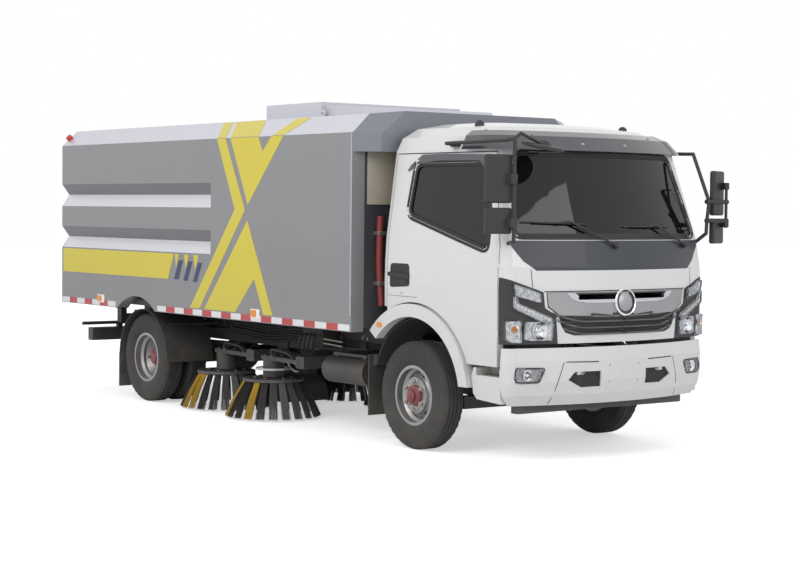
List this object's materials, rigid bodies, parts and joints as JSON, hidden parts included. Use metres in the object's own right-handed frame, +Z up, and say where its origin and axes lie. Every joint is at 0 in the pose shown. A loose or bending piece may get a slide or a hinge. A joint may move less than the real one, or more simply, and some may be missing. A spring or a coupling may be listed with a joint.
{
  "type": "street sweeper truck",
  "caption": "Light street sweeper truck with a tilting cab, a ribbed tipping box with a rear door, disc brushes on trailing arms between the axles and a suction nozzle.",
  "frame": {"origin": "on the ground, midway along the overall length and width", "axes": "+X forward, +Y to the left of the truck, +Z up"},
  "size_m": [6.4777, 2.2588, 2.548],
  "materials": {
    "chassis_black": "satin black chassis paint",
    "engine_grey": "painted casting",
    "spring_steel": "dark painted steel",
    "black_plastic": "grained black plastic",
    "grey_plastic": "grained grey plastic",
    "smoked_plastic": "smoked acrylic",
    "cab_paint": "gloss white paint",
    "box_paint": "light grey paint with yellow and blue stripes",
    "window_glass": "tinted glass",
    "lamp_lens": "clear lens",
    "seat_fabric": "woven dark grey cloth",
    "rubber": "matt black rubber and plastic",
    "tyre_rubber": "black tyre rubber",
    "rim_silver": "silver painted steel",
    "bristles": "black bristles with some yellow",
    "chrome_rod": "hard chrome"
  },
  "bodies": {
    "chassis": {"frame_rails": "chassis_black", "cross_members": "chassis_black", "subframe": "chassis_black", "engine": "engine_grey", "front_axle": "chassis_black", "rear_axle": "chassis_black", "leaf_springs": "spring_steel", "front_bumper": "cab_paint", "chassis_lamps": "lamp_lens", "steps": "black_plastic", "mudguards": "rubber", "rear_bumper": "chassis_black", "side_tanks": "chassis_black", "brackets": "chassis_black", "suction_pipe": "chassis_black"},
    "cab": {"cab_shell": "cab_paint", "cab_floor": "chassis_black", "cab_glass": "window_glass", "cowl_panel": "black_plastic", "headlamps": "lamp_lens", "grille": "black_plastic", "front_fenders": "black_plastic", "visor": "smoked_plastic", "seats": "seat_fabric", "dashboard": "grey_plastic", "mirrors": "black_plastic"},
    "door_right": {"door_right": "cab_paint", "door_glass_right": "window_glass"},
    "door_left": {"door_left": "cab_paint", "door_glass_left": "window_glass"},
    "steering_wheel": {"steering_wheel": "black_plastic"},
    "tie_rod": {"tie_rod": "spring_steel"},
    "knuckle_right": {"knuckle_right": "spring_steel"},
    "knuckle_left": {"knuckle_left": "spring_steel"},
    "wheel_front_right": {"tyre_front_right": "tyre_rubber", "rim_front_right": "rim_silver"},
    "wheel_front_left": {"tyre_front_left": "tyre_rubber", "rim_front_left": "rim_silver"},
    "wheels_rear_right": {"tyres_rear_right": "tyre_rubber", "rims_rear_right": "rim_silver"},
    "wheels_rear_left": {"tyres_rear_left": "tyre_rubber", "rims_rear_left": "rim_silver"},
    "box": {"box_side_right": "box_paint", "box_side_left": "box_paint", "box_roof": "box_paint", "box_floor": "box_paint", "fairing": "box_paint", "roof_hood": "box_paint"},
    "rear_door": {"rear_door": "box_paint"},
    "tip_barrel": {"tip_barrel": "chassis_black"},
    "tip_rod": {"tip_rod": "chrome_rod"},
    "nozzle": {"nozzle": "chassis_black"},
    "brush_arm_front_right": {"brush_arm_front_right": "chassis_black"},
    "brush_front_right": {"brush_front_right": "bristles"},
    "brush_arm_front_left": {"brush_arm_front_left": "chassis_black"},
    "brush_front_left": {"brush_front_left": "bristles"},
    "brush_arm_rear_right": {"brush_arm_rear_right": "chassis_black"},
    "brush_rear_right": {"brush_rear_right": "bristles"},
    "brush_arm_rear_left": {"brush_arm_rear_left": "chassis_black"},
    "brush_rear_left": {"brush_rear_left": "bristles"}
  },
  "joints": [
    {"name": "cab_tilt", "type": "hinge", "parent": "chassis", "child": "cab", "pos_m": [3.075, 0, 0.925], "axis": [0, 1, 0], "range_deg": [0, 45]},
    {"name": "door_right_open", "type": "hinge", "parent": "cab", "child": "door_right", "pos_m": [2.953, -0.952, 1.4], "axis": [0, 0, 1], "range_deg": [0, 70]},
    {"name": "door_left_open", "type": "hinge", "parent": "cab", "child": "door_left", "pos_m": [2.953, 0.952, 1.4], "axis": [0, 0, -1], "range_deg": [0, 70]},
    {"name": "steering_wheel_turn", "type": "hinge", "parent": "cab", "child": "steering_wheel", "pos_m": [2.625, 0.42, 1.56], "axis": [-0.5299, 0, 0.848], "range_deg": [-350, 350]},
    {"name": "steer_right", "type": "hinge", "parent": "chassis", "child": "knuckle_right", "pos_m": [2.025, -0.7, 0.3875], "axis": [0, 0, 1], "range_deg": [-35, 35]},
    {"name": "steer_left", "type": "hinge", "parent": "chassis", "child": "knuckle_left", "pos_m": [2.025, 0.7, 0.3875], "axis": [0, 0, 1], "range_deg": [-35, 35]},
    {"name": "tie_rod_slide", "type": "slide", "parent": "chassis", "child": "tie_rod", "axis": [0, -1, 0], "range_m": [-0.09, 0.09]},
    {"name": "wheel_front_right_spin", "type": "hinge", "parent": "knuckle_right", "child": "wheel_front_right", "pos_m": [2.025, -0.865, 0.3875], "axis": [0, 1, 0], "continuous": true},
    {"name": "wheel_front_left_spin", "type": "hinge", "parent": "knuckle_left", "child": "wheel_front_left", "pos_m": [2.025, 0.865, 0.3875], "axis": [0, 1, 0], "continuous": true},
    {"name": "wheels_rear_right_spin", "type": "hinge", "parent": "chassis", "child": "wheels_rear_right", "pos_m": [-1.775, -0.8, 0.3875], "axis": [0, 1, 0], "continuous": true},
    {"name": "wheels_rear_left_spin", "type": "hinge", "parent": "chassis", "child": "wheels_rear_left", "pos_m": [-1.775, 0.8, 0.3875], "axis": [0, 1, 0], "continuous": true},
    {"name": "box_tip", "type": "hinge", "parent": "chassis", "child": "box", "pos_m": [-2.955, 0, 0.788], "axis": [0, -1, 0], "range_deg": [0, 45]},
    {"name": "rear_door_open", "type": "hinge", "parent": "box", "child": "rear_door", "pos_m": [-3.205, 0, 2.389], "axis": [0, 1, 0], "range_deg": [0, 80]},
    {"name": "tip_barrel_swing", "type": "hinge", "parent": "chassis", "child": "tip_barrel", "pos_m": [-0.475, 0, 0.65], "axis": [0, 1, 0], "range_deg": [-1, 30]},
    {"name": "tip_rod_slide", "type": "slide", "parent": "tip_barrel", "child": "tip_rod", "axis": [-0.9942, 0, 0.1077], "range_m": [0, 0.66]},
    {"name": "brush_arm_front_right_swing", "type": "hinge", "parent": "chassis", "child": "brush_arm_front_right", "pos_m": [0.305, -0.76, 0.489], "axis": [0, 0, 1], "range_deg": [0, 15]},
    {"name": "brush_front_right_spin", "type": "hinge", "parent": "brush_arm_front_right", "child": "brush_front_right", "pos_m": [-0.175, -0.7, 0.313], "axis": [0, 0, 1], "continuous": true},
    {"name": "brush_arm_front_left_swing", "type": "hinge", "parent": "chassis", "child": "brush_arm_front_left", "pos_m": [0.305, 0.76, 0.489], "axis": [0, 0, -1], "range_deg": [0, 15]},
    {"name": "brush_front_left_spin", "type": "hinge", "parent": "brush_arm_front_left", "child": "brush_front_left", "pos_m": [-0.175, 0.7, 0.313], "axis": [0, 0, 1], "continuous": true},
    {"name": "brush_arm_rear_right_swing", "type": "hinge", "parent": "chassis", "child": "brush_arm_rear_right", "pos_m": [-0.5, -0.715, 0.489], "axis": [0, 0, 1], "range_deg": [0, 15]},
    {"name": "brush_rear_right_spin", "type": "hinge", "parent": "brush_arm_rear_right", "child": "brush_rear_right", "pos_m": [-0.98, -0.655, 0.313], "axis": [0, 0, 1], "continuous": true},
    {"name": "brush_arm_rear_left_swing", "type": "hinge", "parent": "chassis", "child": "brush_arm_rear_left", "pos_m": [-0.5, 0.715, 0.489], "axis": [0, 0, -1], "range_deg": [0, 15]},
    {"name": "brush_rear_left_spin", "type": "hinge", "parent": "brush_arm_rear_left", "child": "brush_rear_left", "pos_m": [-0.98, 0.655, 0.313], "axis": [0, 0, 1], "continuous": true},
    {"name": "nozzle_lift", "type": "slide", "parent": "chassis", "child": "nozzle", "axis": [0, 0, 1], "range_m": [0, 0.06]}
  ],
  "couplings": [
    {"joint": "steer_left", "follows": "steer_right", "ratio": 1},
    {"joint": "tie_rod_slide", "follows": "steer_right", "m_per_rad": 0.13},
    {"joint": "steering_wheel_turn", "follows": "steer_right", "ratio": 9.9},
    {"joint": "tip_barrel_swing", "follows": "box_tip", "ratio": 0.6},
    {"joint": "tip_rod_slide", "follows": "box_tip", "m_per_rad": 0.8}
  ]
}
